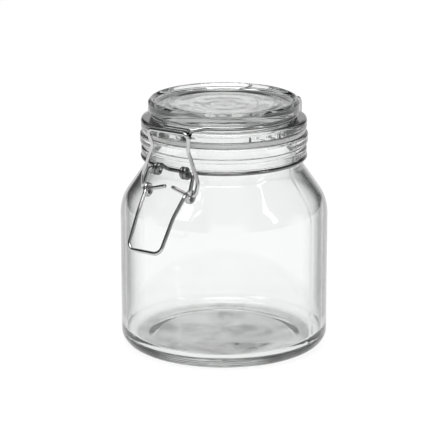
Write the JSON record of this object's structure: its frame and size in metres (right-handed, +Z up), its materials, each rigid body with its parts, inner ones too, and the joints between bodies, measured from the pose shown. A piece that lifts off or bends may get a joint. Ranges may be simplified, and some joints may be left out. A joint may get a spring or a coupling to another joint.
{
  "type": "bail clamp jar",
  "caption": "Round glass storage jar with a hinged glass lid, a clear sealing ring and a steel wire clamp that hooks over the lid's lug.",
  "frame": {"origin": "on the jar's axis, in the plane the jar stands on", "axes": "+Z up along the jar's axis, the clamp and its handle in front towards -Y, the lid's hinge behind at +Y"},
  "size_m": [0.12, 0.1418, 0.1445],
  "materials": {
    "jar_glass": "clear moulded glass, polished",
    "lid_glass": "clear pressed glass, polished",
    "seal": "translucent silicone, satin",
    "band_steel": "bright drawn stainless wire",
    "lid_steel": "bright drawn stainless wire",
    "lever_steel": "bright drawn stainless wire",
    "bail_steel": "bright drawn stainless wire"
  },
  "bodies": {
    "jar": {"jar_body": "jar_glass", "neck_wire": "band_steel"},
    "lid": {"lid": "lid_glass", "gasket": "seal", "lid_wire": "lid_steel"},
    "lever": {"lever": "lever_steel"},
    "bail": {"bail": "bail_steel"}
  },
  "joints": [
    {"name": "lid_hinge", "type": "hinge", "parent": "jar", "child": "lid", "pos_m": [0, 0.058, 0.1175], "axis": [-1, 0, 0], "range_deg": [0, 100]},
    {"name": "lever_swing", "type": "hinge", "parent": "jar", "child": "lever", "pos_m": [0, -0.05215, 0.1125], "axis": [-1, 0, 0], "range_deg": [0, 90]},
    {"name": "bail_swing", "type": "hinge", "parent": "lever", "child": "bail", "pos_m": [0, -0.05497, 0.10085], "axis": [1, 0, 0], "range_deg": [0, 126]}
  ],
  "couplings": [
    {"joint": "lever_swing", "follows": "lid_hinge", "ratio": 0.9},
    {"joint": "bail_swing", "follows": "lid_hinge", "ratio": 1.26}
  ]
}
